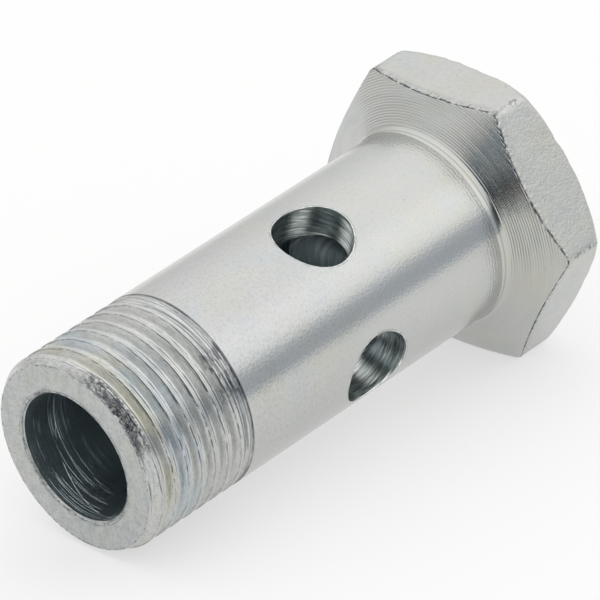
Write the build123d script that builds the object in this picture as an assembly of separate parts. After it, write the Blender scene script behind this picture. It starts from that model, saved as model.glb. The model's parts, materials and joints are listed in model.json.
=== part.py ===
"""Banjo bolt: a hollow hexagon screw that clamps a ring fitting and lets fluid through.

The bolt is turned from one length of hexagon bar, so it is one solid. It is first made upright,
with its threaded end at Z = 0 and one flat of the head facing +X. Then it is laid down as it
rests on a table, on that flat's edge and on the rim of its threaded end, head towards +X.
The thread's own grooves are not cut: its length is plain, at the diameter of its crests.
"""

from build123d import *
from math import atan2, cos, degrees, radians, tan
import os

# Shank and thread, in millimetres
shank_diameter = 17.7
thread_length = 11.5
length_to_seat = 41.8
end_chamfer_width = 0.55
end_chamfer_length = 0.8
runout_depth = 0.05
runout_length = 1.5

# Hexagon head
across_flats = 24.0
head_height = 7.5
corner_radius = 0.9
seat_slope = 25.0
seat_fillet_radius = 1.0
crown_slope = 30.0
crown_face_diameter = 22.6

# Fluid passages
bore_diameter = 11.5
bore_depth = 31.0
drill_point_angle = 118.0
bore_mouth_chamfer = 0.15
cross_hole_diameter = 6.8
cross_hole_station = 26.2
cross_hole_count = 4
cross_hole_turn = 18.4

HEXAGON_SIDES = 6

shank_radius = shank_diameter / 2
bore_radius = bore_diameter / 2
flat_radius = across_flats / 2
bar_corner_radius = flat_radius / cos(radians(180 / HEXAGON_SIDES))
crown_radius = crown_face_diameter / 2
overall_length = length_to_seat + head_height
seat_rise = tan(radians(seat_slope))
crown_fall = tan(radians(crown_slope))


def turned_blank():
    """The turned form: shank, sloping seat under the head, and coned crown."""
    seat_end = length_to_seat + (bar_corner_radius - shank_radius) * seat_rise
    crown_end = overall_length - (bar_corner_radius - crown_radius) * crown_fall
    outline = Polyline(
        (0, 0),
        (shank_radius - end_chamfer_width, 0),
        (shank_radius, end_chamfer_length),
        (shank_radius, thread_length - runout_length),
        (shank_radius - runout_depth, thread_length),
        (shank_radius, thread_length),
        (shank_radius, length_to_seat),
        (bar_corner_radius, seat_end),
        (bar_corner_radius, crown_end),
        (crown_radius, overall_length),
        (0, overall_length),
        close=True,
    )
    section = make_face(outline)
    root = section.vertices().sort_by_distance((shank_radius, length_to_seat))[0]
    section = fillet(root, seat_fillet_radius)
    return revolve(Plane.XZ * section, Axis.Z)


def hexagon_bar():
    """Hexagon bar with softened corners and one flat facing +X."""
    half_side_angle = 180 / HEXAGON_SIDES
    outline = RegularPolygon(
        radius=flat_radius,
        side_count=HEXAGON_SIDES,
        major_radius=False,
        rotation=half_side_angle,
    )
    softened = fillet(outline.vertices(), corner_radius)
    return extrude(softened, overall_length)


def axial_bore():
    """Blind drilled bore that opens at the threaded end, with a broken edge at its mouth."""
    point_depth = bore_radius / tan(radians(drill_point_angle / 2))
    outline = Polyline(
        (0, 0),
        (bore_radius + bore_mouth_chamfer, 0),
        (bore_radius, bore_mouth_chamfer),
        (bore_radius, bore_depth),
        (0, bore_depth + point_depth),
        close=True,
    )
    return revolve(Plane.XZ * make_face(outline), Axis.Z)


def cross_holes():
    """Radial holes from the bore out to the ring fitting, evenly spaced round the shank."""
    outward = Pos(0, 0, cross_hole_station) * Rot(0, 90, 0) * Cylinder(
        radius=cross_hole_diameter / 2,
        height=shank_diameter,
        align=(Align.CENTER, Align.CENTER, Align.MIN),
    )
    step = 360 / cross_hole_count
    return [Rot(0, 0, cross_hole_turn + n * step) * outward for n in range(cross_hole_count)]


def upright_bolt():
    """The finished bolt standing on its threaded end."""
    bolt = turned_blank() & hexagon_bar()
    bolt -= axial_bore()
    for hole in cross_holes():
        bolt -= hole
    return bolt


def rest_angle():
    """Slope of the axis when the seat edge of a flat and the thread's rim touch the table."""
    drop = flat_radius - shank_radius
    seat_edge = length_to_seat + drop * seat_rise
    return degrees(atan2(drop, seat_edge - end_chamfer_length))


def resting(bolt):
    """Lay the upright bolt on its +X flat, over the origin, with the table at Z = 0."""
    lying = Rot(0, 90 - rest_angle(), 0) * bolt
    box = lying.bounding_box()
    return Pos(-box.center().X, -box.center().Y, -box.min.Z) * lying


def main():
    os.makedirs("parts", exist_ok=True)
    bolt = resting(upright_bolt())
    bolt.label = "banjo_bolt"
    export_step(bolt, "parts/banjo_bolt.step")


main()
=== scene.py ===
"""Banjo bolt: a zinc-plated hollow hexagon screw with cross holes, lying on its thread rim and one flat."""

import json
import math

import bmesh
import bpy
import numpy as np
from mathutils import Matrix, Vector


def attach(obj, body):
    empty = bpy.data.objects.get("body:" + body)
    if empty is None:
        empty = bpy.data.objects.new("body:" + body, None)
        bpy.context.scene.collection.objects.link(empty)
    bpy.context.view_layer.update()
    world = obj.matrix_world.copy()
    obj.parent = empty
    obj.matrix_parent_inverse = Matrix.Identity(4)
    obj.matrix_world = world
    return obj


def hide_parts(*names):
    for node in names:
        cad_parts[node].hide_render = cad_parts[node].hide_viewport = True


# Lengths are in millimetres along the bolt's own axis from the threaded end, and angles in degrees.
MM = 0.001

# Turned body.
SHANK_RADIUS = 8.85
THREAD_LENGTH = 11.5
LENGTH_TO_SEAT = 41.8
END_CHAMFER_WIDTH = 0.55
END_CHAMFER_LENGTH = 0.8
RUNOUT_DEPTH = 0.05
RUNOUT_LENGTH = 1.5

# Thread. The lead-in is in whole pitches, the fade is a share of one.
PITCH = 1.5
THREAD_DEPTH = 0.76
THREAD_START_TURN = -130.4
FIRST_CREST = 1.0
THREAD_LIP = 0.25
LEAD_IN = 3
FADE_BEFORE_RUNOUT = 0.35
# Half a pitch of the thread from the middle of a crest: share of the pitch, share of the depth.
HALF_PROFILE = (
    (0.000, 0.95),
    (0.018, 1.00),
    (0.090, 1.00),
    (0.110, 0.95),
    (0.185, 0.71),
    (0.290, 0.34),
    (0.380, 0.06),
    (0.430, 0.00),
)
THREAD_PROFILE = (*HALF_PROFILE, *((1.0 - share, depth) for share, depth in HALF_PROFILE[:0:-1]))
# Torn metal on the crest's corners. The corner is given as shares of the thread's depth.
TEAR_SIZE = 0.018
TEAR_WAVES = 2.6
TEAR_DETAIL = 3.0
TEAR_FADE = (0.42, 0.75)
TEAR_CORNER = (0.70, 0.97)
TEAR_ON_TOP = 0.35

# Head.
ACROSS_FLATS = 24.0
HEAD_HEIGHT = 7.5
FULL_LENGTH = LENGTH_TO_SEAT + HEAD_HEIGHT
CORNER_RADIUS = 0.9
CORNER_REACH = 13.5
SEAT_SLOPE = 25.0
SEAT_RISE = math.tan(math.radians(SEAT_SLOPE))
CROWN_SLOPE = 30.0
CROWN_FALL = math.tan(math.radians(CROWN_SLOPE))
CROWN_FACE_RADIUS = 11.3
EDGE_ROUND = 0.12
EDGE_WAVER = 0.45
CROWN_WAVER = 0.085
CROWN_CORNER_ROUND = 0.5
CROWN_CORNER_REACH = math.radians(14.0)
# Nicks in the crown's edge: azimuth, half-width in degrees, depth.
CROWN_NICKS = (
    (-190.0, 2.4, 0.10),
    (-175.0, 10.5, 0.28),
    (-181.0, 2.2, 0.06),
    (-165.0, 2.4, -0.05),
    (-131.0, 2.8, 0.20),
    (-119.0, 8.0, 0.10),
    (-64.0, 2.6, 0.12),
    (-20.0, 3.0, 0.10),
    (48.0, 2.8, 0.13),
    (107.0, 2.6, 0.10),
)
# Unevenness of an edge: waves in a full turn, share of the whole.
RIPPLES = ((5, 0.30), (11, 0.25), (23, 0.22), (41, 0.18), (67, 0.14), (101, 0.10))

# Fillet between the shank and the sloping seat.
FILLET_RADIUS = 1.0
FILLET_SWEEP = math.radians(90.0 - SEAT_SLOPE)
FILLET_TANGENT = FILLET_RADIUS * math.tan(FILLET_SWEEP / 2)
FILLET_START = LENGTH_TO_SEAT - FILLET_TANGENT
FILLET_END = LENGTH_TO_SEAT + FILLET_TANGENT * math.sin(math.radians(SEAT_SLOPE))
FILLET_END_RADIUS = SHANK_RADIUS + FILLET_TANGENT * math.cos(math.radians(SEAT_SLOPE))

# Bore and cross holes.
BORE_RADIUS = 5.75
BORE_DEPTH = 31.0
MOUTH_CHAMFER = 0.15
DRILL_POINT_ANGLE = 118.0
HOLE_RADIUS = 3.4
HOLE_STATION = 26.2
HOLE_TURN = 18.4
HOLE_COUNT = 4
HOLE_RIM_ROUND = 0.07
HOLE_RIM_MIDDLE = 0.3

# Mesh density. A belt of patches runs round the cross holes, and rings fill each hole's patch.
COLUMNS = 240
FLATS = 6
CORNER_COLUMNS = 5
PATCH_ROWS = 40
OUTER_PATCH_HALF = 20
BORE_PATCH_HALF = 27
BORE_PATCH_ROWS = 26
BELT_HALF = 4.63
BELT_LOW = HOLE_STATION - BELT_HALF
BELT_HIGH = HOLE_STATION + BELT_HALF
PATCH_RINGS = (0.28, 0.52, 0.70, 0.83, 0.92, 0.975)
HOLE_WALL_ROWS = 9
SHANK_ROWS_BELOW = 6
SHANK_ROWS_ABOVE = 7
ROW_GAP = 1.0
STEP_ROW_GAP = 0.05
FILLET_ROW_GAPS = (0.8, 0.25)
FILLET_ROWS = 10
SEAT_ROWS = 14
FLAT_ROWS = 14
CROWN_ROWS = 5
ROUND_ROWS = (0.33, 0.67, 1.0)
CROWN_FACE_RINGS = (10.0, 8.0, 6.0, 4.0, 2.0, 0.7)
CROWN_FACE_MIDDLE = 1.0
END_FACE_RINGS = 5
END_RIM_GAPS = (0.06, 0.5)
MOUTH_GAPS = (0.4, 0.04)
BORE_ROWS = 22
BORE_FIRST_ROW = 1.0
BORE_ROW_GAPS = (0.08, 0.8)
DRILL_POINT_RINGS = (0.97, 0.8, 0.6, 0.4, 0.2, 0.08)
THREAD_WELD = 0.0005
SKIN_WELD = 0.001
SLIVER = 0.0005
SHARP_ANGLE = 38.0

# Plating of each zone: tone and roughness.
PLATING = {
    "thread": ((0.64, 0.645, 0.63), 0.27),
    "shank": ((0.555, 0.56, 0.545), 0.21),
    "seat": ((0.54, 0.545, 0.525), 0.16),
    "flats": ((0.56, 0.565, 0.55), 0.36),
    "bore": ((0.485, 0.562, 0.592), 0.36),
    "hole": ((0.615, 0.657, 0.65), 0.28),
    "end": ((0.53, 0.54, 0.53), 0.36),
}
ZONES = tuple(PLATING)

# Tints: the share of the plating's colour that a mark leaves.
ZINC_BLUE = (0.96, 0.98, 1.0)
ZINC_STRAW = (1.0, 0.99, 0.95)
SOOT = (0.16, 0.17, 0.19)
SHANK_HAZE = (0.95, 0.952, 0.955)
SHANK_BLUE = (0.976, 0.978, 1.0)
SHANK_FRECKLE = (0.91, 0.914, 0.92)
SHANK_SPECK = (0.7, 0.71, 0.72)
RUBBED_EDGE = (0.72, 0.73, 0.75)
THREAD_STRAW = (1.0, 0.98, 0.9)
THREAD_BLUE = (0.9, 0.955, 1.01)
THREAD_STREAK = (0.8, 0.81, 0.82)
THREAD_HAZE = (0.9, 0.903, 0.91)
# painted shade on the thread's underside
THREAD_UNDERSIDE_PAINTED_SHADE = (0.93, 0.93, 0.915)
# painted shade in the thread's root
ROOT_PAINTED_SHADE = (0.5, 0.52, 0.55)
# torn metal, coloured as painted shadow beside the crest
CREST_TEAR_AND_PAINTED_SHADOW = (0.3, 0.31, 0.34)
CHAMFER_HAZE = (0.84, 0.845, 0.855)
# painted reflection of the studio's dark band on one side of the chamfer; the second also darkens pits
# there
CHAMFER_REFLECTION_PAINT = (0.42, 0.43, 0.45)
CHAMFER_PITS_AND_REFLECTION = (0.35, 0.36, 0.38)
RUNOUT_RING = (0.55, 0.57, 0.6)
# painted reflection of the studio's dark band over the frayed last turns
FRAYED_AND_PAINTED_REFLECTION = (0.45, 0.46, 0.48)
STEP_STAIN = (0.4, 0.42, 0.45)
FILLET_LINE = (0.74, 0.75, 0.765)
SEAT_GROOVE = (0.74, 0.745, 0.75)
# painted blue reflection of the studio's dark band on the seat
SEAT_BLUE_REFLECTION_PAINT = (0.9, 0.965, 1.03)
SEAT_STRAW = (1.0, 0.995, 0.965)
FLAT_HAZE = (0.94, 0.942, 0.942)
FLAT_SCUFF = (0.66, 0.67, 0.68)
FLAT_STRAW = (1.0, 0.996, 0.965)
FLAT_CHIP = (0.5, 0.51, 0.53)
FLAT_SPECK = (0.72, 0.73, 0.74)
# tool marks in the bore brightened as painted highlight, and painted shade deeper in
BORE_FINE_RING_HIGHLIGHT = (1.35, 1.3, 1.28)
BORE_RING_HIGHLIGHT = (1.35, 1.28, 1.25)
BORE_SCRATCH_HIGHLIGHT = (1.4, 1.33, 1.3)
BORE_SHADE = (0.3, 0.32, 0.33)
BORE_DEEP_RING_HIGHLIGHT = (1.5, 1.46, 1.42)
HOLE_GREY = (0.6, 0.62, 0.64)
HOLE_BRIGHT = (1.55, 1.52, 1.45)
HOLE_DARK = (0.55, 0.57, 0.58)
MOUTH_GREY = (0.62, 0.64, 0.66)
END_SPECK = (0.6, 0.61, 0.63)
END_HAZE = (0.86, 0.87, 0.88)
END_FLECK = (0.86, 0.865, 0.87)
RIM_CRUMB = (0.4, 0.41, 0.43)

# Where marks start and stop: heights on the shank, the thread and in the bore, radii on the faces, and
# distances from the seat's edge on the flats or from a cross hole.
SHANK_THREAD_HALF = (16.0, 34.0)
SHANK_TURNED = (38.2, 40.4)
CHAMFER_PITTED = (0.75, 1.0)
CHAMFER_DARK_PATCH = (0.95, 1.25)
RUNOUT_RINGED = (10.2, 10.7)
RUNOUT_FRAYED_AND_REFLECTION = (8.9, 10.0)
STEP_STAINED = (11.22, 11.34)
SEAT_FACED = (9.02, 9.25)
EDGE_NICKED = (-0.16, 0.02)
EDGE_RAGGED = 0.42
EDGE_SCUFFED = (0.2, 0.9)
EDGE_BURRED = (0.1, 1.0)
CORNER_CHIPPED = (12.0, 12.6)
CORNER_OFFSET = 0.55
CORNER_WANDER = 1.1
BORE_FINE = (3.0, 7.0)
BORE_SHADED = (4.0, 17.0)
BORE_DEEP = (20.0, 23.0)
MOUTH_RUBBED = (6.05, 6.35)
RIM_RAISED = (0.05, 0.6)

# Lines that marks follow: middle, half-width, and the width over which the line fades. Those of the
# thread and of the bore's scratch are shares of the pitch or of the lead.
STRAW_TURN = (2.0, 0.5, 0.6)
BLUE_TURNS = (4.2, 1.2, 1.2)
FILLET_EDGE = (8.94, 0.01, 0.035)
END_RIM = (8.26, 0.02, 0.1)
MOUTH_RIM = (5.95, 0.03, 0.1)
THREAD_ROOT = (0.5, 0.03, 0.05)
CREST_EDGE = (0.875, 0.004, 0.035)
RUBBED_RING = (0.12, 0.02, 0.12)
CHIPPED_LINE = (0.0, 0.05, 0.25)
SCRATCH_TRACK = (0.5, 0.006, 0.008)

# Sides that marks keep to: azimuth, and the cosines of the angle off it between which they fade in.
SHANK_BLUE_SIDE = (-165.0, 0.5, 0.9)
THREAD_UNDER = (-50.0, 0.65, 0.92)
THREAD_FAR = (170.0, 0.80, 0.98)
DARK_REFLECTION_SIDE = (-139.0, 0.85, 0.97)
RUNOUT_REFLECTION_SIDE = (-125.0, 0.93, 0.99)
SEAT_CALM_SIDE = (-45.0, 0.60, 0.95)
SEAT_CRISP_SIDE = (-112.0, 0.82, 0.98)
SEAT_REFLECTION_SIDE = (-137.0, 0.975, 0.998)
SEAT_STRAW_SIDE = (-92.0, 0.75, 0.95)
FLAT_SPARED_SIDE = (-120.0, 0.85, 0.92)
FLAT_STRAW_SIDE = (-112.0, 0.80, 0.97)

# Tool marks: feeds, leads and how far they wander.
SEAT_FEED = 0.21
GROOVE = (0.15, 0.95)
SEAT_FEED_WANDER = 1.6
SHANK_FEED = 0.32
CREST_WANDER = 0.10
SCRATCH_LEAD = 9.0
SCRATCH_START = 2.35

# Camera.
CAMERA_TARGET = (0.00079, -0.000773, 0.012178)
CAMERA_AZIMUTH = -134.455
CAMERA_ELEVATION = 29.036
CAMERA_DISTANCE = 0.49093
CAMERA_ROLL = 3.733
CAMERA_LENS = 360.22
CAMERA_SENSOR = 36.0
CAMERA_NEAR = 0.01

# Studio: a side is a direction round the table and how far a ray leans to it where the side fades in,
# and heights are the sine of the elevation.
DOME_HEIGHTS = (0.05, 0.8)
DOME_LEVELS = (0.84, 1.24)
DOME_COLOUR = (1.0, 1.0, 0.99, 1.0)
SOFTBOX_SIDE = (-52.0, 0.45, 0.8)
SOFTBOX_HEIGHTS = (0.30, 0.44)
SOFTBOX_GAIN = 0.22
SHADE_SIDE = (130.0, 0.4, 0.9)
SHADE_HEIGHTS = (0.1, 0.4)
SHADE_LOSS = 0.12
DARK_SIDE = (-117.0, 0.10, 0.40)
DARK_TOP = (0.20, 0.40)
DARK_CORE = (-152.0, 0.40, 0.93)
DARK_LEVELS = (0.56, 0.05)
DARK_COLOUR = (0.90, 0.97, 1.06, 1.0)
BACKDROP = 0.985
TABLE_RADIUS = 0.175
TABLE_SIDES = 96
TABLE_DROP = 0.00002
TABLE_WHITE = (0.38, 0.38, 0.38, 1.0)
TABLE_GLOW = 0.55
TABLE_ROUGHNESS = 0.9
TABLE_GLOSS = 0.1
WHITE = (1.0, 1.0, 1.0, 1.0)

# Sockets of a colour mix node: share, lower and upper colour, and the mixed one.
MIX_INPUTS = (0, 6, 7)
MIX_RESULT = 2


def put_in_scene(name, data):
    thing = bpy.data.objects.new(name, data)
    bpy.context.scene.collection.objects.link(thing)
    return thing


def new_material(name):
    """A material and its shader."""
    material = bpy.data.materials.new(name)
    material.use_nodes = True
    return material, material.node_tree.nodes["Principled BSDF"]


class NodeDesk:
    """Short calls for adding and linking nodes in one tree."""

    def __init__(self, tree):
        self.tree = tree

    def feed(self, socket, value):
        if isinstance(value, bpy.types.NodeSocket):
            self.tree.links.new(value, socket)
        else:
            socket.default_value = value

    def add(self, kind, inputs=None, **settings):
        """A node with these settings, fed with numbers or with other nodes' outputs."""
        node = self.tree.nodes.new(kind)
        for name, value in settings.items():
            setattr(node, name, value)
        for name, value in (inputs or {}).items():
            self.feed(node.inputs[name], value)
        return node

    def math(self, operation, *values):
        return self.add("ShaderNodeMath", dict(enumerate(values)), operation=operation).outputs[0]

    def sum(self, *values):
        total = values[0]
        for value in values[1:]:
            total = self.math("ADD", total, value)
        return total

    def times(self, *values):
        product = values[0]
        for value in values[1:]:
            product = self.math("MULTIPLY", product, value)
        return product

    def less(self, value, taken):
        return self.math("SUBTRACT", value, taken)

    def ratio(self, value, unit):
        return self.math("DIVIDE", value, unit)

    def ramp(self, value, low, high, start=0.0, stop=1.0, shape="LINEAR"):
        """Goes from start to stop while the value goes from low to high."""
        inputs = dict(enumerate((value, low, high, start, stop)))
        return self.add("ShaderNodeMapRange", inputs, interpolation_type=shape).outputs[0]

    def rise(self, value, low, high, bottom=0.0, top=1.0):
        """Smooth change from bottom to top while the value goes from low to high."""
        return self.ramp(value, low, high, bottom, top, "SMOOTHSTEP")

    def fall(self, value, low, high, top=1.0, bottom=0.0):
        """Smooth change from top to bottom while the value goes from low to high."""
        return self.ramp(value, low, high, top, bottom, "SMOOTHSTEP")

    def point(self, x, y, z):
        return self.add("ShaderNodeCombineXYZ", {"X": x, "Y": y, "Z": z}).outputs[0]

    def point_round(self, azimuth, radius, z):
        """Point at this azimuth and distance from the axis."""
        x = self.times(self.math("COSINE", azimuth), radius)
        y = self.times(self.math("SINE", azimuth), radius)
        return self.point(x, y, z)

    def noise(self, place, waves, detail):
        inputs = {"Vector": place, "Scale": waves, "Detail": detail}
        return self.add("ShaderNodeTexNoise", inputs).outputs[0]

    def mix(self, share, below, above, blend):
        """Colour mixed from two colours."""
        inputs = dict(zip(MIX_INPUTS, (share, below, above)))
        return self.add("ShaderNodeMix", inputs, data_type="RGBA", blend_type=blend).outputs[MIX_RESULT]


# ---- thread, by geometry nodes
# What the thread's tree is given, in the order of its inputs.
THREAD_SIZES = {
    "Crest Radius": SHANK_RADIUS,
    "Pitch": PITCH,
    "Depth": THREAD_DEPTH,
    "Length": THREAD_LENGTH,
    "Chamfer Width": END_CHAMFER_WIDTH,
    "Chamfer Length": END_CHAMFER_LENGTH,
    "Runout Depth": RUNOUT_DEPTH,
    "Runout Length": RUNOUT_LENGTH,
    "First Crest": FIRST_CREST,
    "First Turn": math.radians(THREAD_START_TURN),
    "Column Turn": math.radians(HOLE_TURN),
    "Tear Size": TEAR_SIZE,
    "Lip": THREAD_LIP,
    "Columns": COLUMNS,
    "Pitches": math.ceil(THREAD_LENGTH / PITCH) + LEAD_IN + 1,
}


def profile_pick(desk, step, part):
    """The thread profile's number at this step: part 0 is the share of the pitch, part 1 of the depth."""
    switch = desk.add("GeometryNodeIndexSwitch", {"Index": step}, data_type="FLOAT")
    while len(switch.index_switch_items) < len(THREAD_PROFILE):
        switch.index_switch_items.new()
    for number, values in enumerate(THREAD_PROFILE, start=1):
        switch.inputs[number].default_value = values[part]
    return switch.outputs[0]


def thread_surface(desk, given, rows):
    """Place of each grid point on the thread, with its chamfered start and its runout."""
    steps = float(len(THREAD_PROFILE))
    length = given["Length"]
    crest_radius = given["Crest Radius"]
    index = desk.add("GeometryNodeInputIndex").outputs[0]
    column = desk.math("FLOOR", desk.ratio(desk.sum(index, 0.5), rows))
    row = desk.less(index, desk.times(column, rows))
    whole = desk.math("FLOOR", desk.ratio(desk.sum(row, 0.5), steps))
    step = desk.less(row, desk.times(whole, steps))
    share = profile_pick(desk, step, 0)
    height = profile_pick(desk, step, 1)

    turn = desk.ratio(column, given["Columns"])
    azimuth = desk.sum(desk.times(turn, math.tau), given["Column Turn"])
    lead = desk.ratio(desk.less(azimuth, given["First Turn"]), math.tau)
    wound_up = desk.sum(whole, share, desk.less(lead, float(LEAD_IN)))
    z_wound = desk.sum(desk.times(wound_up, given["Pitch"]), given["First Crest"])
    z = desk.math("MINIMUM", desk.math("MAXIMUM", z_wound, 0.0), length)

    # the groove opens just inside the end face and grows shallow along the runout
    runout_start = desk.less(length, given["Runout Length"])
    fade_start = desk.less(runout_start, desk.times(given["Pitch"], FADE_BEFORE_RUNOUT))
    fades = desk.ramp(z, fade_start, length, 1.0, 0.0)
    cut = desk.times(fades, desk.rise(z, 0.0, given["Lip"]))
    drop = desk.times(desk.less(1.0, height), given["Depth"])
    sink = desk.ramp(z, runout_start, length, 0.0, given["Runout Depth"])
    crest = desk.less(crest_radius, sink)

    # torn metal along the crest's corners
    ragged = desk.noise(desk.point_round(azimuth, crest_radius, z), TEAR_WAVES, TEAR_DETAIL)
    below_top = desk.ramp(height, *TEAR_CORNER)
    corner = desk.times(below_top, desk.ramp(height, TEAR_CORNER[1], 1.0, 1.0, TEAR_ON_TOP))
    patchy = desk.times(desk.ramp(ragged, *TEAR_FADE), given["Tear Size"])
    lost = desk.times(desk.sum(drop, desk.times(patchy, corner)), cut)
    wound = desk.less(crest, lost)

    slope = desk.ratio(given["Chamfer Width"], given["Chamfer Length"])
    cone = desk.sum(desk.less(crest_radius, given["Chamfer Width"]), desk.times(z, slope))
    return desk.point_round(azimuth, desk.math("MINIMUM", wound, cone), z)


def thread_tree():
    """Node tree that winds the thread's outer surface, and the identifier of each of its inputs."""
    tree = bpy.data.node_groups.new("wind_thread", "GeometryNodeTree")
    face = tree.interface
    face.new_socket("Geometry", in_out="OUTPUT", socket_type="NodeSocketGeometry")
    inputs = {}
    for name, size in THREAD_SIZES.items():
        kind = "NodeSocketInt" if isinstance(size, int) else "NodeSocketFloat"
        inputs[name] = face.new_socket(name, in_out="INPUT", socket_type=kind).identifier
    paint = face.new_socket("Material", in_out="INPUT", socket_type="NodeSocketMaterial")
    inputs["Material"] = paint.identifier

    desk = NodeDesk(tree)
    given = desk.add("NodeGroupInput").outputs
    columns = desk.sum(given["Columns"], 1.0)
    rows = desk.sum(desk.times(given["Pitches"], float(len(THREAD_PROFILE))), 1.0)
    grid = desk.add("GeometryNodeMeshGrid", {"Vertices X": columns, "Vertices Y": rows}).outputs["Mesh"]
    place = thread_surface(desk, given, rows)
    bend = desk.add("GeometryNodeSetPosition", {"Geometry": grid, "Position": place}).outputs[0]
    weld = {"Geometry": bend, "Distance": THREAD_WELD}
    solid = desk.add("GeometryNodeMergeByDistance", weld).outputs[0]
    plain = desk.add("GeometryNodeRealizeInstances", {"Geometry": solid}).outputs[0]
    coat = {"Geometry": plain, "Material": given["Material"]}
    desk.add("NodeGroupOutput", {0: desk.add("GeometryNodeSetMaterial", coat).outputs[0]})
    return tree, inputs


def wind_thread(material):
    """Plain mesh of the thread's outer surface, in millimetres, upright."""
    tree, inputs = thread_tree()
    holder = put_in_scene("thread_blank", bpy.data.meshes.new("thread_blank"))
    winder = holder.modifiers.new("wind", "NODES")
    winder.node_group = tree
    for name, size in THREAD_SIZES.items():
        winder[inputs[name]] = size
    winder[inputs["Material"]] = material
    graph = bpy.context.evaluated_depsgraph_get()
    mesh = bpy.data.meshes.new_from_object(holder.evaluated_get(graph))
    holder.modifiers.remove(winder)
    bpy.data.objects.remove(holder)
    return mesh


# ---- skin of the bolt
class Skin:
    """Vertices and faces of the bolt's surface, in millimetres, upright, with a zone for each face."""

    def __init__(self):
        self.points = []
        self.faces = []
        self.zones = []
        self.hole_turns = []

    def place(self, points):
        first = len(self.points)
        self.points.extend(map(tuple, points))
        return np.arange(first, len(self.points))

    def row(self, radius, azimuth, height):
        """One ring of points. Each of the three may be a number or an array."""
        radius, azimuth, height = np.broadcast_arrays(radius, azimuth, height)
        return self.place(np.c_[radius * np.cos(azimuth), radius * np.sin(azimuth), height])

    def tube(self, radius, azimuth, heights):
        """Level rings of one radius, one for each height."""
        return [self.row(radius, azimuth, height) for height in heights]

    def face(self, corners, zone, turn=0.0):
        self.faces.append(tuple(int(c) for c in corners))
        self.zones.append(zone)
        self.hole_turns.append(turn)

    def band(self, low, high, zone, closed=True, turn=0.0):
        """Quads between two rows of the same number of points."""
        count = len(low)
        for n in range(count if closed else count - 1):
            m = (n + 1) % count
            self.face((low[n], low[m], high[m], high[n]), zone, turn)

    def stack(self, rows, zone, closed=True, turn=0.0):
        for low, high in zip(rows, rows[1:]):
            self.band(low, high, zone, closed, turn)

    def close(self, ring, height, zone):
        """Triangles from a ring to a point on the axis."""
        tip = self.place([(0.0, 0.0, height)])[0]
        for here, beside in zip(ring, np.roll(ring, -1)):
            self.face((here, beside, tip), zone)

    def spots(self, numbers):
        """Places of these points, as one array."""
        return np.array([self.points[n] for n in numbers])


def column_azimuths():
    """Even columns, one of them at the middle of each cross hole."""
    return math.radians(HOLE_TURN) + np.arange(COLUMNS) * math.tau / COLUMNS


def corner_spread():
    """Polar half-width of the hexagon's rounded corner, in radians."""
    half = ACROSS_FLATS / 2
    return math.pi / FLATS - math.atan2((half - CORNER_RADIUS) * math.tan(math.pi / FLATS), half)


def head_azimuths():
    """The same columns moved round the head so that they crowd at its six corners."""
    per_flat = COLUMNS // FLATS
    half_flat = math.pi / FLATS
    to_corner = half_flat - corner_spread()
    straight = np.linspace(0.0, to_corner, per_flat // 2 - CORNER_COLUMNS + 1)
    rounded = np.linspace(to_corner, half_flat, CORNER_COLUMNS + 1)[1:]
    half = np.concatenate((straight, rounded))
    flat = np.concatenate((-half[:0:-1], half[:-1]))
    first = round((half_flat - math.radians(HOLE_TURN)) / (math.tau / COLUMNS))
    out = np.zeros(COLUMNS)
    for sector in range(FLATS):
        middle = 2 * half_flat * (sector + 1)
        for n in range(per_flat):
            turns, column = divmod(first + sector * per_flat + n, COLUMNS)
            out[column] = middle + flat[n] - turns * math.tau
    return out


def off_flat_middle(azimuth):
    """Angle from the middle of the nearest flat. One flat faces azimuth 0."""
    sixth = math.tau / FLATS
    return np.abs((azimuth + sixth / 2) % sixth - sixth / 2)


def hexagon_radius(azimuth):
    """Distance from the axis to the rounded hexagon."""
    off = off_flat_middle(azimuth)
    past = math.pi / FLATS - off
    flat = ACROSS_FLATS / 2 / np.cos(off)
    centre = (ACROSS_FLATS / 2 - CORNER_RADIUS) / math.cos(math.pi / FLATS)
    inside = np.maximum(CORNER_RADIUS**2 - (centre * np.sin(past)) ** 2, 0.0)
    round_corner = centre * np.cos(past) + np.sqrt(inside)
    return np.where(past < corner_spread(), round_corner, flat)


def ripple(azimuth, seed):
    """Smooth, repeatable unevenness between about -1 and 1, periodic over a full turn."""
    out = np.zeros_like(azimuth)
    chance = np.random.default_rng(seed)
    for waves, share in RIPPLES:
        out += share * np.sin(waves * azimuth + chance.uniform(0, math.tau))
    return out


def nick_depth(azimuth):
    """How deep the nicks in the crown's edge are at each azimuth."""
    depth = np.zeros_like(azimuth)
    for turn, half_width, deep in CROWN_NICKS:
        off = (np.degrees(azimuth) - turn + 180.0) % 360.0 - 180.0
        depth += deep * np.exp(-((off / half_width) ** 2))
    return depth


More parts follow.
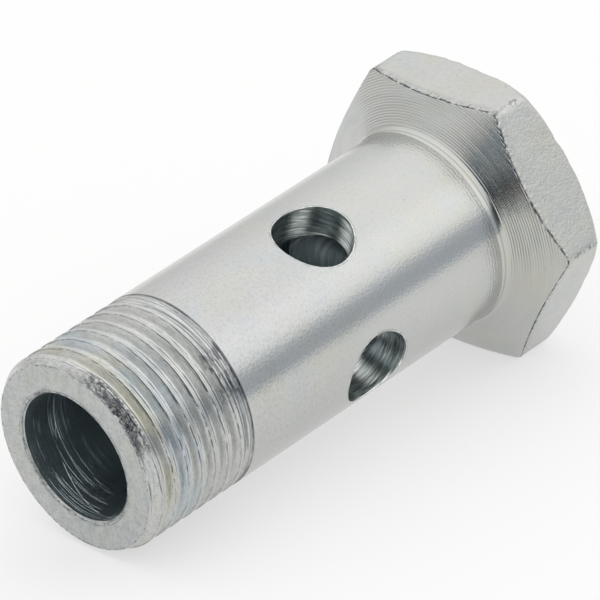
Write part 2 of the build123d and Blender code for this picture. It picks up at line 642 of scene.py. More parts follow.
def join_patches(skin, levels, half, rings, zone, shift=0):
    """Belt round the cross holes: quads between the holes, and rings of quads round each hole.

    Points of the belt inside a hole's patch belong to no face, and go with the loose points."""
    per_hole = COLUMNS // HOLE_COUNT
    last = len(levels) - 1
    for hole, ring in enumerate(rings):
        left = hole * per_hole - half
        right = hole * per_hole + half
        between = [(right + n) % COLUMNS for n in range(per_hole - 2 * half + 1)]
        skin.stack([level[between] for level in levels], zone, closed=False)
        border = [levels[n][right % COLUMNS] for n in range(last)]
        border += [levels[last][(right - n) % COLUMNS] for n in range(2 * half)]
        border += [levels[last - n][left % COLUMNS] for n in range(last)]
        border += [levels[0][(left + n) % COLUMNS] for n in range(2 * half)]
        border = np.roll(np.array(border), shift)
        edge = skin.spots(border)
        rim = skin.spots(ring)
        azimuths = np.unwrap(np.arctan2(edge[:, 1], edge[:, 0]))
        turned = np.arctan2(rim[:, 1], rim[:, 0]) - azimuths
        turned = (turned + math.pi) % math.tau - math.pi
        raised = rim[:, 2] - edge[:, 2]
        radius = math.hypot(*rim[0, :2])
        rows = [border]
        for share in PATCH_RINGS:
            rows.append(skin.row(radius, azimuths + turned * share, edge[:, 2] + raised * share))
        rows.append(ring)
        skin.stack(rows, zone)


def hole_angles():
    """Angles round a cross hole, starting at a corner of its patch."""
    count = 4 * PATCH_ROWS
    return -math.pi / 4 + np.arange(count) * math.tau / count


def depth_on(carrier, radius):
    """Distance from the bolt's axis to a round surface, all round a cross hole of this radius."""
    return np.sqrt(carrier**2 - (radius * np.cos(hole_angles())) ** 2)


def hole_ring(skin, turn, radius, depth):
    side = radius * np.cos(hole_angles())
    x = depth * math.cos(turn) - side * math.sin(turn)
    y = depth * math.sin(turn) + side * math.cos(turn)
    return skin.place(np.c_[x, y, HOLE_STATION + radius * np.sin(hole_angles())])


def add_cross_holes(skin):
    """Walls of the four cross holes. Returns the rings where they meet the shank and the bore."""
    wide = HOLE_RADIUS + HOLE_RIM_ROUND
    part = HOLE_RIM_ROUND * HOLE_RIM_MIDDLE
    middle = HOLE_RADIUS + part
    top = depth_on(SHANK_RADIUS, HOLE_RADIUS) - HOLE_RIM_ROUND
    bottom = depth_on(BORE_RADIUS, HOLE_RADIUS) + HOLE_RIM_ROUND
    wall = [(HOLE_RADIUS, top + (bottom - top) * n) for n in np.linspace(0.0, 1.0, HOLE_WALL_ROWS)]
    steps = [
        (wide, depth_on(SHANK_RADIUS, wide)),
        (middle, depth_on(SHANK_RADIUS, middle) - part),
        *wall,
        (middle, depth_on(BORE_RADIUS, middle) + part),
        (wide, depth_on(BORE_RADIUS, wide)),
    ]
    outer_rings = []
    inner_rings = []
    for hole in range(HOLE_COUNT):
        turn = math.radians(HOLE_TURN + hole * 360.0 / HOLE_COUNT)
        rows = [hole_ring(skin, turn, radius, depth) for radius, depth in steps]
        skin.stack(rows, "hole", turn=turn)
        outer_rings.append(rows[0])
        inner_rings.append(rows[-1])
    return outer_rings, inner_rings


def add_shank(skin, even, hole_rings):
    """Plain shank from the thread's end to the fillet, open at the four cross holes."""
    foot = skin.row(SHANK_RADIUS - RUNOUT_DEPTH, even, THREAD_LENGTH)
    step = skin.row(SHANK_RADIUS, even, THREAD_LENGTH)
    skin.band(foot, step, "shank")
    heights = np.linspace(THREAD_LENGTH + ROW_GAP, BELT_LOW - ROW_GAP, SHANK_ROWS_BELOW)
    below = skin.tube(SHANK_RADIUS, even, (THREAD_LENGTH + STEP_ROW_GAP, *heights))
    belt = skin.tube(SHANK_RADIUS, even, np.linspace(BELT_LOW, BELT_HIGH, PATCH_ROWS + 1))
    skin.stack([step, *below, belt[0]], "shank")
    join_patches(skin, belt, OUTER_PATCH_HALF, hole_rings, "shank")
    far, near = FILLET_ROW_GAPS
    heights = np.linspace(BELT_HIGH + ROW_GAP, FILLET_START - far, SHANK_ROWS_ABOVE)
    above = skin.tube(SHANK_RADIUS, even, (*heights, FILLET_START - near, FILLET_START))
    skin.stack([belt[-1], *above], "shank")
    return above[-1]


def add_bore(skin, even, rim, inner_rings):
    """End face, bore mouth, bore wall and the drill's point."""
    outer = SHANK_RADIUS - END_CHAMFER_WIDTH
    inner = BORE_RADIUS + MOUTH_CHAMFER
    middle = np.linspace(outer - END_RIM_GAPS[1], inner + MOUTH_GAPS[0], END_FACE_RINGS)
    radii = (outer - END_RIM_GAPS[0], *middle, inner + MOUTH_GAPS[1], inner)
    face = [rim, *(skin.row(radius, even, 0.0) for radius in radii)]
    skin.stack(face, "end")
    mouth = skin.row(BORE_RADIUS, even, MOUTH_CHAMFER)
    skin.band(face[-1], mouth, "end")
    heights = np.linspace(BORE_FIRST_ROW, BELT_LOW - BORE_ROW_GAPS[1], BORE_ROWS)
    walls = skin.tube(BORE_RADIUS, even, (MOUTH_CHAMFER + BORE_ROW_GAPS[0], *heights))
    belt = skin.tube(BORE_RADIUS, even, np.linspace(BELT_LOW, BELT_HIGH, BORE_PATCH_ROWS + 1))
    skin.stack([mouth, *walls, belt[0]], "bore")
    shift = (PATCH_ROWS - BORE_PATCH_ROWS) // 2
    join_patches(skin, belt, BORE_PATCH_HALF, inner_rings, "bore", shift)
    cone = [belt[-1], skin.row(BORE_RADIUS, even, BORE_DEPTH)]
    fall = math.tan(math.radians(DRILL_POINT_ANGLE / 2))
    for share in DRILL_POINT_RINGS:
        radius = BORE_RADIUS * share
        cone.append(skin.row(radius, even, BORE_DEPTH + (BORE_RADIUS - radius) / fall))
    skin.stack(cone, "bore")
    skin.close(cone[-1], BORE_DEPTH + BORE_RADIUS / fall, "bore")


def unit_rows(steps):
    return steps / np.linalg.norm(steps, axis=1, keepdims=True)


def rounded_path(corners, rounds, counts):
    """Points along straight lines, with each inner corner rounded. Every array runs over the columns."""
    out = []
    previous = corners[0]
    for before, here, after, size, count in zip(corners, corners[1:], corners[2:], rounds, counts):
        start = here + unit_rows(before - here) * size[:, None]
        stop = here + unit_rows(after - here) * size[:, None]
        for share in np.linspace(0.0, 1.0, count + 1)[1:]:
            out.append(previous + (start - previous) * share)
        for share in ROUND_ROWS:
            out.append((1 - share) ** 2 * start + 2 * share * (1 - share) * here + share**2 * stop)
        previous = out[-1]
    return out


def level_corner(radius, height):
    """Corner of the head's path that is the same in every column."""
    return np.c_[np.full(COLUMNS, radius), np.full(COLUMNS, height)]


def head_path(crowd):
    """Radius and height of the head's rows, from the fillet over the seat, the flats and the crown."""
    reach = hexagon_radius(crowd)
    seat = LENGTH_TO_SEAT + (reach - SHANK_RADIUS) * SEAT_RISE
    crown = FULL_LENGTH - np.maximum(reach - CROWN_FACE_RADIUS, 0.0) * CROWN_FALL
    uneven = CROWN_WAVER * ripple(crowd, 5) - nick_depth(crowd)
    corners = [
        level_corner(FILLET_END_RADIUS, FILLET_END),
        np.c_[reach, seat],
        np.c_[reach, crown + uneven],
        level_corner(CROWN_FACE_RADIUS, FULL_LENGTH),
        level_corner(CROWN_FACE_MIDDLE, FULL_LENGTH),
    ]
    past = math.pi / FLATS - off_flat_middle(crowd)
    near_corner = np.clip(1.0 - past / CROWN_CORNER_REACH, 0.0, 1.0) ** 2
    rounds = [
        EDGE_ROUND * (1.0 + EDGE_WAVER * ripple(crowd, 3)),
        EDGE_ROUND * (1.0 + EDGE_WAVER * ripple(crowd, 7)) + CROWN_CORNER_ROUND * near_corner,
        np.full(COLUMNS, EDGE_ROUND),
    ]
    return rounded_path(corners, rounds, (SEAT_ROWS, FLAT_ROWS, CROWN_ROWS))


def add_head(skin, even, fillet_foot):
    """Fillet, sloping seat, six flats, chamfered crown and the flat end of the head."""
    fillet = [fillet_foot]
    for share in np.linspace(0.0, 1.0, FILLET_ROWS + 1)[1:]:
        angle = FILLET_SWEEP * share
        radius = SHANK_RADIUS + FILLET_RADIUS - FILLET_RADIUS * math.cos(angle)
        height = FILLET_START + FILLET_RADIUS * math.sin(angle)
        fillet.append(skin.row(radius, even, height))
    skin.stack(fillet, "seat")

    crowd = head_azimuths()
    rows = [fillet[-1]]
    for n, points in enumerate(head_path(crowd), start=1):
        share = min(1.0, n / SEAT_ROWS)
        ease = share * share * (3 - 2 * share)
        rows.append(skin.row(points[:, 0], even + (crowd - even) * ease, points[:, 1]))
    skin.stack(rows[: SEAT_ROWS + 2], "seat")
    skin.stack(rows[SEAT_ROWS + 1 :], "flats")
    ends = [rows[-1], *(skin.row(radius, crowd, FULL_LENGTH) for radius in CROWN_FACE_RINGS)]
    skin.stack(ends, "flats")
    skin.close(ends[-1], FULL_LENGTH, "flats")


def add_thread(skin, thread):
    first = len(skin.points)
    skin.place([tuple(v.co) for v in thread.vertices])
    for polygon in thread.polygons:
        skin.face([first + n for n in polygon.vertices], "thread")
    bpy.data.meshes.remove(thread)


def closed_shell(skin):
    """The skin as one closed surface, each corner with its place as the cutting tool saw it."""
    shell = bmesh.new()
    points = [shell.verts.new(p) for p in skin.points]
    zone_layer = shell.faces.layers.int.new("zone")
    turn_layer = shell.faces.layers.float.new("turn")
    for corners, zone, turn in zip(skin.faces, skin.zones, skin.hole_turns):
        face = shell.faces.new([points[c] for c in corners])
        face[zone_layer] = ZONES.index(zone)
        face[turn_layer] = turn
    loose = [v for v in shell.verts if not v.link_faces]
    bmesh.ops.delete(shell, geom=loose, context="VERTS")
    bmesh.ops.remove_doubles(shell, verts=shell.verts, dist=SKIN_WELD)
    bmesh.ops.dissolve_degenerate(shell, dist=SLIVER, edges=shell.edges)
    bmesh.ops.recalc_face_normals(shell, faces=shell.faces)

    tool = shell.loops.layers.float_vector.new("tool")
    for face in shell.faces:
        face.smooth = True
        face.material_index = face[zone_layer]
        in_hole = ZONES[face[zone_layer]] == "hole"
        turn = face[turn_layer]
        for loop in face.loops:
            x, y, z = loop.vert.co
            if in_hole:
                along = x * math.cos(turn) + y * math.sin(turn)
                side = y * math.cos(turn) - x * math.sin(turn)
                loop[tool] = Vector((side, z - HOLE_STATION, along))
            else:
                loop[tool] = Vector((x, y, z))
    return shell


def bolt_place(record):
    """Matrix from the upright bolt in millimetres to the lying bolt in metres."""
    crown = next(m for m in record["mounts"] if m["name"] == "crown_face")
    along = Vector(crown["axis"]).normalized()
    across = Vector((0.0, 1.0, 0.0))
    upright_x = across.cross(along).normalized()
    origin = Vector(crown["pos_m"]) - along * FULL_LENGTH * MM
    turn = Matrix((upright_x, across, along)).transposed().to_4x4()
    return Matrix.Translation(origin) @ turn @ Matrix.Scale(MM, 4)


def build_bolt(record, finishes):
    """The whole bolt as one closed mesh, placed where it lies."""
    skin = Skin()
    even = column_azimuths()
    outer_rings, inner_rings = add_cross_holes(skin)
    fillet_foot = add_shank(skin, even, outer_rings)
    add_head(skin, even, fillet_foot)
    rim = skin.row(SHANK_RADIUS - END_CHAMFER_WIDTH, even, 0.0)
    add_bore(skin, even, rim, inner_rings)
    add_thread(skin, wind_thread(finishes["thread"]))

    shell = closed_shell(skin)
    mesh = bpy.data.meshes.new("banjo_bolt_skin")
    shell.to_mesh(mesh)
    shell.free()
    for zone in ZONES:
        mesh.materials.append(finishes[zone])
    mesh.set_sharp_from_angle(angle=math.radians(SHARP_ANGLE))
    mesh.transform(bolt_place(record))
    return put_in_scene("banjo_bolt_skin", mesh)


# ---- finishes
class Plating(NodeDesk):
    """Zinc plating of one zone. Marks change its tone, and its height in millimetres."""

    def __init__(self, zone):
        self.material, self.shader = new_material("zinc_" + zone)
        super().__init__(self.material.node_tree)
        tone, roughness = PLATING[zone]
        self.colour = (*tone, 1.0)
        self.height = None
        self.shader.inputs["Metallic"].default_value = 1.0
        self.shader.inputs["Base Color"].default_value = self.colour
        self.shader.inputs["Roughness"].default_value = roughness
        self.place = self.add("ShaderNodeAttribute", attribute_name="tool").outputs["Vector"]
        self.x, self.y, self.z = self.add("ShaderNodeSeparateXYZ", {0: self.place}).outputs
        self.radius = self.math("SQRT", self.sum(self.times(self.x, self.x), self.times(self.y, self.y)))
        self.azimuth = self.math("ARCTAN2", self.y, self.x)

    def line(self, value, middle, half, edge):
        """1 within half of the middle, falling to 0 over the edge."""
        return self.fall(self.math("ABSOLUTE", self.less(value, middle)), half, half + edge)

    def towards(self, turn, low, high):
        """1 on the side of the bolt that faces this azimuth, 0 on the other sides."""
        lean = self.math("COSINE", self.less(self.azimuth, math.radians(turn)))
        return self.rise(lean, low, high)

    def grain(self, around, along, detail=2, seed=0, place=None):
        """Noise with this many waves a millimetre round the tool's axis and along it."""
        inputs = {0: place or self.place, 1: (around, around, along), 2: (seed, seed, seed)}
        scaled = self.add("ShaderNodeVectorMath", inputs, operation="MULTIPLY_ADD").outputs[0]
        return self.noise(scaled, 1.0, detail)

    def patches(self, around, along, fade, detail=2, seed=0, place=None, on=None):
        """Grain cut to patches that fade in between two levels, only on a region if one is given."""
        out = self.rise(self.grain(around, along, detail, seed, place), *fade)
        return out if on is None else self.times(on, out)

    def faced(self):
        """Place for marks turned on a face: direction round the axis, and distance from it."""
        return self.point(self.ratio(self.x, self.radius), self.ratio(self.y, self.radius), self.radius)

    def lift(self, share, by):
        step = self.times(share, by)
        self.height = step if self.height is None else self.sum(self.height, step)

    def tint(self, share, colour):
        self.colour = self.mix(share, self.colour, (*colour, 1.0), "MULTIPLY")

    def mark(self, share, colour, lift):
        """A mark that has a colour and a height."""
        self.tint(share, colour)
        self.lift(share, lift)

    def stain(self, colour, *grain, lift=0.0, **kind):
        """Patches that have a colour, and a height if one is given."""
        share = self.patches(*grain, **kind)
        self.tint(share, colour)
        if lift:
            self.lift(share, lift)

    def clouds(self):
        """The faint blue and straw tints of clear passivated zinc."""
        self.stain(ZINC_BLUE, 0.25, 0.25, (0.48, 0.68))
        self.stain(ZINC_STRAW, 0.22, 0.22, (0.48, 0.68), seed=31)

    def done(self):
        """Plugs the marks into the shader. Every zone has some of both kinds."""
        self.feed(self.shader.inputs["Base Color"], self.colour)
        bump = self.add("ShaderNodeBump", {"Distance": MM, "Height": self.height}).outputs[0]
        self.feed(self.shader.inputs["Normal"], bump)
        return self.material


def hole_distance(zinc):
    """Millimetres from the nearest cross hole's edge, over the shank's surface."""
    quarter = math.tau / HOLE_COUNT
    turned = zinc.less(zinc.azimuth, math.radians(HOLE_TURN))
    nearest = zinc.less(turned, zinc.math("SNAP", zinc.sum(turned, quarter / 2), quarter))
    side = zinc.times(zinc.math("SINE", nearest), SHANK_RADIUS)
    up = zinc.less(zinc.z, HOLE_STATION)
    reach = zinc.math("SQRT", zinc.sum(zinc.times(side, side), zinc.times(up, up)))
    return zinc.less(reach, HOLE_RADIUS)


def thread_finish():
    """Cut thread: streaks along the cut, painted shade in the root, ragged dark dashes of torn metal and
    painted shadow on one edge of the crest, painted shade on the underside, and painted reflection of the
    studio's dark band on one side of the chamfer and of the last turns.
    """
    zinc = Plating("thread")
    lead = zinc.ratio(zinc.less(zinc.azimuth, math.radians(THREAD_START_TURN)), math.tau)
    risen = zinc.ratio(zinc.less(zinc.z, FIRST_CREST), PITCH)
    phase = zinc.math("FRACT", zinc.sum(zinc.less(risen, lead), float(LEAD_IN)))
    zinc.lift(zinc.grain(0.5, 9.0), by=0.012)
    zinc.lift(zinc.grain(4.0, 6.0, seed=5), by=0.01)
    zinc.lift(zinc.grain(6.5, 8.0, detail=1, seed=8), by=0.008)

    # straw and blue tints on the first turns, streaks that are fainter below and on the far side
    first_turn = zinc.line(zinc.z, *STRAW_TURN)
    zinc.stain(THREAD_STRAW, 0.25, 0.5, (0.35, 0.6), detail=1, on=first_turn)
    next_turns = zinc.line(zinc.z, *BLUE_TURNS)
    zinc.stain(THREAD_BLUE, 0.3, 0.6, (0.38, 0.6), detail=1, seed=3, on=next_turns)
    under = zinc.towards(*THREAD_UNDER)
    far_side = zinc.towards(*THREAD_FAR)
    quiet = zinc.sum(zinc.times(under, -0.6), zinc.times(far_side, -0.45), 1.0)
    zinc.stain(THREAD_STREAK, 0.6, 9.0, (0.38, 0.68), seed=17, on=quiet)
    zinc.stain(THREAD_HAZE, 2.2, 8.0, (0.42, 0.66), seed=37)

    # painted shade along the root, and torn dashes with painted shadow along one edge of the crest
    root = zinc.line(phase, *THREAD_ROOT)
    zinc.stain(ROOT_PAINTED_SHADE, 0.35, 0.5, (0.4, 0.58), seed=9, on=root)
    sway = zinc.times(zinc.sum(zinc.grain(0.9, 0.9, seed=25), -0.5), CREST_WANDER)
    crest_edge = zinc.line(zinc.sum(phase, sway), *CREST_EDGE)
    dashes = zinc.patches(1.4, 1.4, (0.32, 0.56), detail=3, seed=21, on=crest_edge)
    # the dashes have a bump, and their dark colour is painted shadow beside the crest
    zinc.mark(zinc.times(dashes, quiet), CREST_TEAR_AND_PAINTED_SHADOW, lift=-0.02)
    # painted shade: the side of the thread that faces down is darker
    zinc.tint(under, THREAD_UNDERSIDE_PAINTED_SHADE)

    # pitted chamfer, with a painted reflection of the studio's dark band and darker pits on one side
    pitted = zinc.fall(zinc.z, *CHAMFER_PITTED)
    zinc.stain(CHAMFER_HAZE, 2.0, 6.0, (0.45, 0.7), detail=3, seed=44, on=pitted)
    zinc.lift(zinc.times(pitted, zinc.grain(3.0, 7.0, detail=3, seed=40)), by=-0.028)
    patchy = zinc.times(zinc.towards(*DARK_REFLECTION_SIDE), zinc.fall(zinc.z, *CHAMFER_DARK_PATCH))
    # painted reflection: a dark mottled patch on one side of the chamfer, over pits that have a bump
    zinc.stain(CHAMFER_REFLECTION_PAINT, 1.6, 3.0, (0.4, 0.6), detail=4, seed=48, on=patchy)
    zinc.stain(CHAMFER_PITS_AND_REFLECTION, 3.6, 5.5, (0.52, 0.62), detail=3, seed=49, on=patchy, lift=-0.04)

    # ringed runout, frayed on one side with a painted reflection of the studio's dark band, and the stained
    # step at its end
    ringed = zinc.rise(zinc.z, *RUNOUT_RINGED)
    zinc.stain(RUNOUT_RING, 0.12, 8.0, (0.45, 0.62), detail=1, seed=61, on=ringed, lift=-0.016)
    # painted reflection: the last turns darker on one side, over a frayed bump
    frayed_and_dark_reflection = zinc.times(zinc.towards(*RUNOUT_REFLECTION_SIDE), zinc.rise(zinc.z, *RUNOUT_FRAYED_AND_REFLECTION))
    zinc.stain(FRAYED_AND_PAINTED_REFLECTION, 1.1, 5.0, (0.47, 0.6), detail=3, seed=58, on=frayed_and_dark_reflection, lift=-0.02)
    step = zinc.rise(zinc.z, *STEP_STAINED)
    zinc.stain(STEP_STAIN, 0.5, 0.5, (0.3, 0.6), seed=71, on=step)
    return zinc.done()


def shank_finish():
    """Ground smooth: fine speckle, turned rings close to the head, a rubbed line round the holes."""
    zinc = Plating("shank")
    zinc.clouds()
    zinc.lift(zinc.grain(4.6, 4.6), by=0.014)
    zinc.lift(zinc.grain(1.6, 5.0, seed=7), by=0.006)
    zinc.stain(SHANK_HAZE, 4.0, 6.0, (0.42, 0.7), seed=70)
    thread_half = zinc.fall(zinc.z, *SHANK_THREAD_HALF)
    zinc.tint(zinc.times(thread_half, zinc.towards(*SHANK_BLUE_SIDE)), SHANK_BLUE)
    zinc.stain(SHANK_FRECKLE, 3.2, 5.2, (0.45, 0.66), detail=3, seed=73, on=thread_half)
    wave = zinc.math("SINE", zinc.times(zinc.z, math.tau / SHANK_FEED))
    zinc.lift(zinc.times(zinc.rise(zinc.z, *SHANK_TURNED), wave), by=0.0012)
    zinc.stain(SHANK_SPECK, 3.4, 3.4, (0.7, 0.8), seed=50)
    edge = hole_distance(zinc)
    rubbed = zinc.line(edge, *RUBBED_RING)
    zinc.stain(RUBBED_EDGE, 1.2, 1.2, (0.4, 0.58), seed=12, on=rubbed)
    zinc.lift(zinc.rise(edge, *RIM_RAISED), by=0.015)
    return zinc.done()


def seat_finish():
    """Turned face: tool rings from the fillet outwards, calm on one side and crisp on another, with a
    painted blue reflection of the studio's dark band on one side.
    """
    zinc = Plating("seat")
    zinc.clouds()
    faced = zinc.faced()
    on_face = zinc.rise(zinc.radius, *SEAT_FACED)
    zinc.tint(zinc.line(zinc.radius, *FILLET_EDGE), FILLET_LINE)
    wander = zinc.times(zinc.grain(0.8, 0.5, detail=1, place=faced), SEAT_FEED_WANDER)
    wave = zinc.math("SINE", zinc.sum(zinc.times(zinc.radius, math.tau / SEAT_FEED), wander))
    calm = zinc.times(zinc.towards(*SEAT_CALM_SIDE), -0.75)
    crisp = zinc.times(zinc.towards(*SEAT_CRISP_SIDE), 0.6)
    strength = zinc.sum(calm, crisp, 1.0)
    zinc.lift(zinc.times(on_face, wave, strength), by=0.0075)
    zinc.lift(zinc.times(on_face, zinc.grain(1.5, 5.0, place=faced)), by=0.014)
    groove = zinc.times(on_face, zinc.rise(wave, *GROOVE), zinc.math("MINIMUM", strength, 1.0))
    zinc.stain(SEAT_GROOVE, 2.0, 1.2, (0.35, 0.6), seed=8, place=faced, on=groove)
    zinc.lift(zinc.grain(3.0, 3.0), by=0.006)
    # painted reflection: the seat's dark wedge made bluer on one side
    zinc.tint(zinc.times(on_face, zinc.towards(*SEAT_REFLECTION_SIDE)), SEAT_BLUE_REFLECTION_PAINT)
    zinc.tint(zinc.towards(*SEAT_STRAW_SIDE), SEAT_STRAW)
    return zinc.done()


def flat_finish():
    """Cold-drawn hexagon: fine orange peel, nicked and dark along the edges, chipped at the corners."""
    zinc = Plating("flats")
    zinc.clouds()
    zinc.lift(zinc.grain(4.4, 4.4), by=0.028)
    zinc.lift(zinc.grain(0.7, 0.7, seed=4), by=0.02)
    zinc.stain(FLAT_HAZE, 2.0, 2.0, (0.4, 0.68), detail=3, seed=41)

    # nicks, scuffs and burr along the edge with the seat
    seat_line = zinc.sum(zinc.times(zinc.radius, SEAT_RISE), LENGTH_TO_SEAT - SHANK_RADIUS * SEAT_RISE)
    off_seat = zinc.less(zinc.z, seat_line)
    ragged = zinc.times(zinc.grain(1.0, 1.0, detail=3, seed=77), EDGE_RAGGED)
    near = zinc.fall(zinc.less(off_seat, ragged), *EDGE_NICKED)
    zinc.stain(SOOT, 2.6, 2.6, (0.28, 0.58), detail=3, seed=14, on=near, lift=-0.03)
    scuffed = zinc.fall(off_seat, *EDGE_SCUFFED)
    scuffs = zinc.patches(3.4, 3.4, (0.5, 0.62), detail=3, seed=24, on=scuffed)
    spared = zinc.sum(zinc.times(zinc.towards(*FLAT_SPARED_SIDE), -0.8), 1.0)
    zinc.tint(zinc.times(scuffs, spared), FLAT_SCUFF)
    burred = zinc.fall(off_seat, *EDGE_BURRED)
    zinc.lift(zinc.times(burred, zinc.grain(2.4, 2.4, detail=3, seed=19)), by=0.16)

    # chips along a line that wanders about each of the six corners
    sixth = math.tau / FLATS
    around = zinc.math("FRACT", zinc.ratio(zinc.azimuth, sixth))
    off_corner = zinc.times(zinc.math("ABSOLUTE", zinc.sum(around, -0.5)), sixth * CORNER_REACH)
    wander = zinc.times(zinc.grain(0.8, 0.8, seed=52), CORNER_WANDER)
    worn = zinc.line(zinc.less(zinc.sum(off_corner, CORNER_OFFSET), wander), *CHIPPED_LINE)
    chipped = zinc.times(worn, zinc.rise(zinc.radius, *CORNER_CHIPPED))
    zinc.tint(zinc.towards(*FLAT_STRAW_SIDE), FLAT_STRAW)
    zinc.stain(FLAT_CHIP, 3.4, 3.4, (0.42, 0.6), detail=3, seed=53, on=chipped, lift=-0.012)
    zinc.stain(FLAT_SPECK, 2.6, 2.6, (0.68, 0.78), seed=90)
    return zinc.done()


def bore_finish():
    """Drilled bore: dark, with painted shade deeper in, bright tool rings in groups and one long scratch
    winding in, whose brightness is painted highlight over their bumps.
    """
    zinc = Plating("bore")
    # tool marks with bumps, brightened as painted highlight
    sparse = zinc.patches(0.1, 8.5, (0.54, 0.66), seed=44)
    fine = zinc.patches(0.3, 0.5, (0.44, 0.58), seed=15, on=sparse)
    zinc.mark(zinc.times(fine, zinc.fall(zinc.z, *BORE_FINE, bottom=0.15)), BORE_FINE_RING_HIGHLIGHT, lift=0.018)
    rings = zinc.patches(0.06, 6.0, (0.5, 0.66))
    zinc.stain(BORE_RING_HIGHLIGHT, 0.12, 0.35, (0.53, 0.66), detail=1, seed=6, on=rings, lift=0.026)
    winding = zinc.less(zinc.ratio(zinc.z, SCRATCH_LEAD), zinc.ratio(zinc.azimuth, math.tau))
    wound = zinc.math("FRACT", zinc.sum(winding, SCRATCH_START))
    track = zinc.line(wound, *SCRATCH_TRACK)
    zinc.stain(BORE_SCRATCH_HIGHLIGHT, 0.3, 0.3, (0.36, 0.48), detail=1, seed=2, on=track, lift=0.026)
    zinc.tint(zinc.rise(zinc.z, *BORE_SHADED), BORE_SHADE)
    deep = zinc.rise(zinc.z, *BORE_DEEP)
    zinc.stain(BORE_DEEP_RING_HIGHLIGHT, 0.25, 5.5, (0.5, 0.62), seed=35, on=deep)
    zinc.lift(zinc.grain(0.1, 6.0, seed=33), by=0.018)
    return zinc.done()


def hole_finish():
    """Walls of the cross holes: coarse drill marks round each hole, with light and dark patches."""
    zinc = Plating("hole")
    zinc.lift(zinc.grain(0.25, 4.5), by=0.032)
    zinc.lift(zinc.grain(0.3, 9.0, detail=1, seed=9), by=0.018)
    zinc.lift(zinc.grain(2.5, 6.0, seed=3), by=0.006)
    zinc.stain(HOLE_GREY, 0.4, 4.5, (0.5, 0.66), seed=18)
    zinc.stain(HOLE_BRIGHT, 0.5, 8.5, (0.52, 0.6), seed=28)
    zinc.stain(HOLE_DARK, 0.5, 8.5, (0.54, 0.62), seed=38)
    return zinc.done()


def end_finish():
    """Sawn and faced end: matt, faintly ringed, rubbed at the bore's mouth, dark along its rims."""
    zinc = Plating("end")
    faced = zinc.faced()
    zinc.clouds()
    zinc.lift(zinc.grain(1.2, 4.0, place=faced), by=0.03)
    zinc.lift(zinc.grain(2.4, 2.4, detail=3), by=0.06)
    mouth = zinc.fall(zinc.radius, *MOUTH_RUBBED)
    zinc.stain(MOUTH_GREY, 3.0, 6.0, (0.42, 0.6), seed=5, place=faced, on=mouth)
    zinc.lift(mouth, by=-0.02)
    zinc.stain(END_SPECK, 3.0, 3.0, (0.66, 0.78), seed=66)
    zinc.stain(END_HAZE, 1.3, 1.3, (0.38, 0.68), detail=4, seed=81)
    zinc.stain(END_FLECK, 4.2, 4.2, (0.46, 0.64), seed=91)
    outer_rim = zinc.line(zinc.radius, *END_RIM)
    rims = zinc.sum(outer_rim, zinc.line(zinc.radius, *MOUTH_RIM))
    zinc.stain(RIM_CRUMB, 2.6, 2.6, (0.5, 0.62), seed=83, on=rims)
    return zinc.done()


def bolt_finishes():
    """A material for each zone."""
    made = (thread_finish, shank_finish, seat_finish, flat_finish, bore_finish, hole_finish, end_finish)
    return {zone: finish() for zone, finish in zip(ZONES, made)}


# ---- studio
def facing(desk, ray, turn, low, high, *levels):
    """Goes from 0 to 1, or between the given levels, as a ray leans towards one side of the room."""
    angle = math.radians(turn)
    east = desk.times(ray["X"], math.cos(angle))
    lean = desk.sum(east, desk.times(ray["Y"], math.sin(angle)))
    return desk.rise(lean, low, high, *levels)


def studio_light():
    """Soft studio: a bright dome, a darker band low down on one side, white for the background."""
    world = bpy.data.worlds.new("studio")
    bpy.context.scene.world = world
    world.use_nodes = True
    world.node_tree.nodes.clear()
    desk = NodeDesk(world.node_tree)
    where = desk.add("ShaderNodeTexCoord").outputs["Generated"]
    ray = desk.add("ShaderNodeSeparateXYZ", {0: where}).outputs
    height = ray["Z"]

    dome = desk.ramp(height, *DOME_HEIGHTS, *DOME_LEVELS)
    softbox = desk.rise(height, *SOFTBOX_HEIGHTS, top=SOFTBOX_GAIN)
    box = desk.times(facing(desk, ray, *SOFTBOX_SIDE), softbox)
    low_down = desk.fall(height, *SHADE_HEIGHTS, top=SHADE_LOSS)
    shade = desk.times(facing(desk, ray, *SHADE_SIDE), low_down)
    lit = desk.less(desk.sum(dome, box), shade)
    in_band = desk.times(desk.fall(height, *DARK_TOP), facing(desk, ray, *DARK_SIDE))
    band_level = facing(desk, ray, *DARK_CORE, *DARK_LEVELS)
    outside = desk.times(lit, desk.less(1.0, in_band))
    level = desk.sum(outside, desk.times(band_level, in_band))

    colour = desk.mix(in_band, DOME_COLOUR, DARK_COLOUR, "MIX")
    studio = desk.add("ShaderNodeBackground", {"Color": colour, "Strength": level}).outputs[0]
    paper = desk.add("ShaderNodeBackground", {"Color": WHITE, "Strength": BACKDROP}).outputs[0]
    to_camera = desk.add("ShaderNodeLightPath").outputs["Is Camera Ray"]
    seen = desk.add("ShaderNodeMixShader", {0: to_camera, 1: studio, 2: paper}).outputs[0]
    desk.add("ShaderNodeOutputWorld", {"Surface": seen})


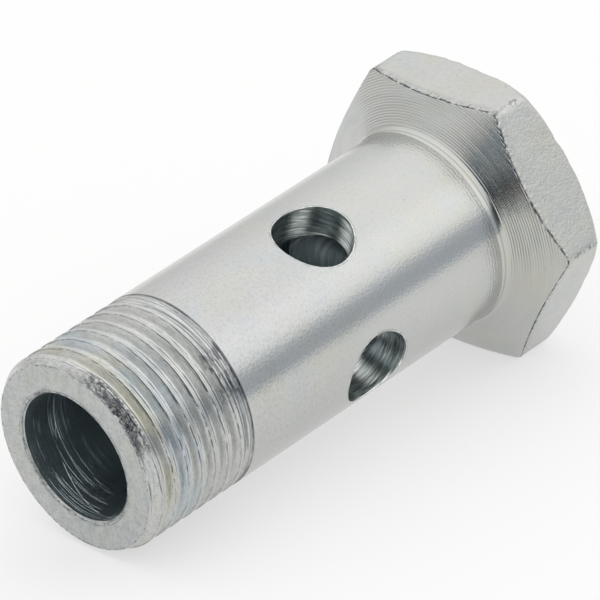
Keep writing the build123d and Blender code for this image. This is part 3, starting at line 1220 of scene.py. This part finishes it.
def studio_floor():
    """Plain white table, round, under the bolt."""
    shape = bmesh.new()
    bmesh.ops.create_circle(shape, cap_ends=True, segments=TABLE_SIDES, radius=TABLE_RADIUS)
    mesh = bpy.data.meshes.new("table")
    shape.to_mesh(mesh)
    shape.free()
    mesh.transform(Matrix.Translation((0.0, 0.0, -TABLE_DROP)))
    white, shader = new_material("white_table")
    shader.inputs["Base Color"].default_value = TABLE_WHITE
    shader.inputs["Roughness"].default_value = TABLE_ROUGHNESS
    shader.inputs["Specular IOR Level"].default_value = TABLE_GLOSS
    shader.inputs["Emission Color"].default_value = WHITE
    shader.inputs["Emission Strength"].default_value = TABLE_GLOW
    mesh.materials.append(white)
    put_in_scene("table", mesh)


def studio_camera():
    """Long lens from the threaded end's side, above the table."""
    azimuth = math.radians(CAMERA_AZIMUTH)
    elevation = math.radians(CAMERA_ELEVATION)
    roll = math.radians(CAMERA_ROLL)
    level = math.cos(elevation)
    back = Vector((math.cos(azimuth) * level, math.sin(azimuth) * level, math.sin(elevation)))
    side = Vector((0.0, 0.0, 1.0)).cross(back).normalized()
    upright = back.cross(side)
    up = upright * math.cos(roll) + side * math.sin(roll)
    right = up.cross(back)
    turn = Matrix((right, up, back)).transposed().to_4x4()
    lens = bpy.data.cameras.new("camera")
    lens.lens = CAMERA_LENS
    lens.sensor_width = CAMERA_SENSOR
    lens.clip_start = CAMERA_NEAR
    camera = put_in_scene("camera", lens)
    camera.matrix_world = Matrix.Translation(Vector(CAMERA_TARGET) + back * CAMERA_DISTANCE) @ turn
    bpy.context.scene.camera = camera


# ---- scene
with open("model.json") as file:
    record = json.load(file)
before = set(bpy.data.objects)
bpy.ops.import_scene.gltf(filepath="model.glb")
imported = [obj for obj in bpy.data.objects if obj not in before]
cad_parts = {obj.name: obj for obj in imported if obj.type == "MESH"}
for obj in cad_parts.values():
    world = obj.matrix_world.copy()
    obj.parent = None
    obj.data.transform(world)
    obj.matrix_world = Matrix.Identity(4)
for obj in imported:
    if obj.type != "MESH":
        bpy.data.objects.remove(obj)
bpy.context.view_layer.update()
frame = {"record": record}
finishes = bolt_finishes()
bolt = build_bolt(frame["record"], finishes)
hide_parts("banjo_bolt")
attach(bolt, "root")
studio_floor()
studio_light()
studio_camera()
bpy.context.scene.view_settings.view_transform = "Standard"
